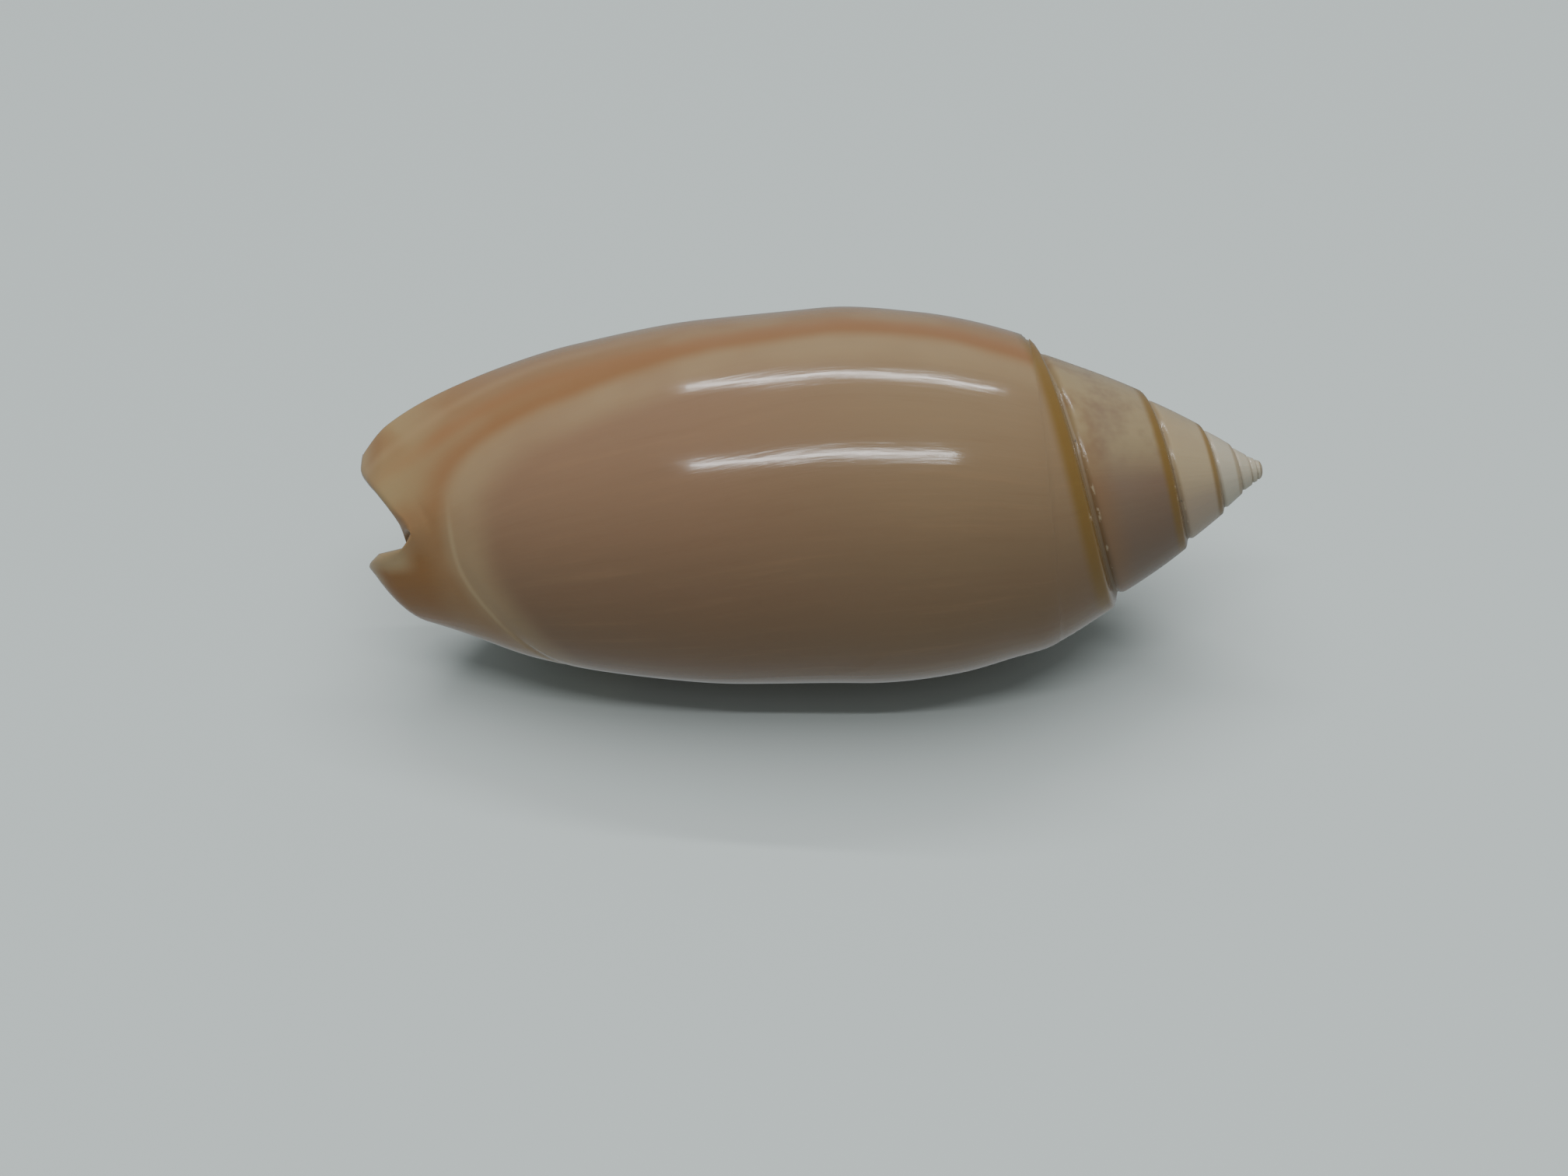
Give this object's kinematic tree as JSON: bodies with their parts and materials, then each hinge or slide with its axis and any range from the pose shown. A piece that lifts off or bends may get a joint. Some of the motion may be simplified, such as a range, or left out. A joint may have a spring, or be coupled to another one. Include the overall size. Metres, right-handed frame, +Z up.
{
  "type": "olive shell",
  "caption": "Small glossy olive shell lying on its side, with a channelled suture, a long narrow aperture and a siphonal notch.",
  "frame": {"origin": "on the surface the shell rests on, under the middle of its bounding box", "axes": "+Z up, +X towards the apex along the shell's length, -Y towards the side that faces the viewer"},
  "size_m": [0.02, 0.0076, 0.008],
  "materials": {
    "shell": "smooth glossy shell, pinkish tan body, cream anterior band, greyish pink spire"
  },
  "bodies": {
    "root": {"shell": "shell"}
  },
  "joints": []
}
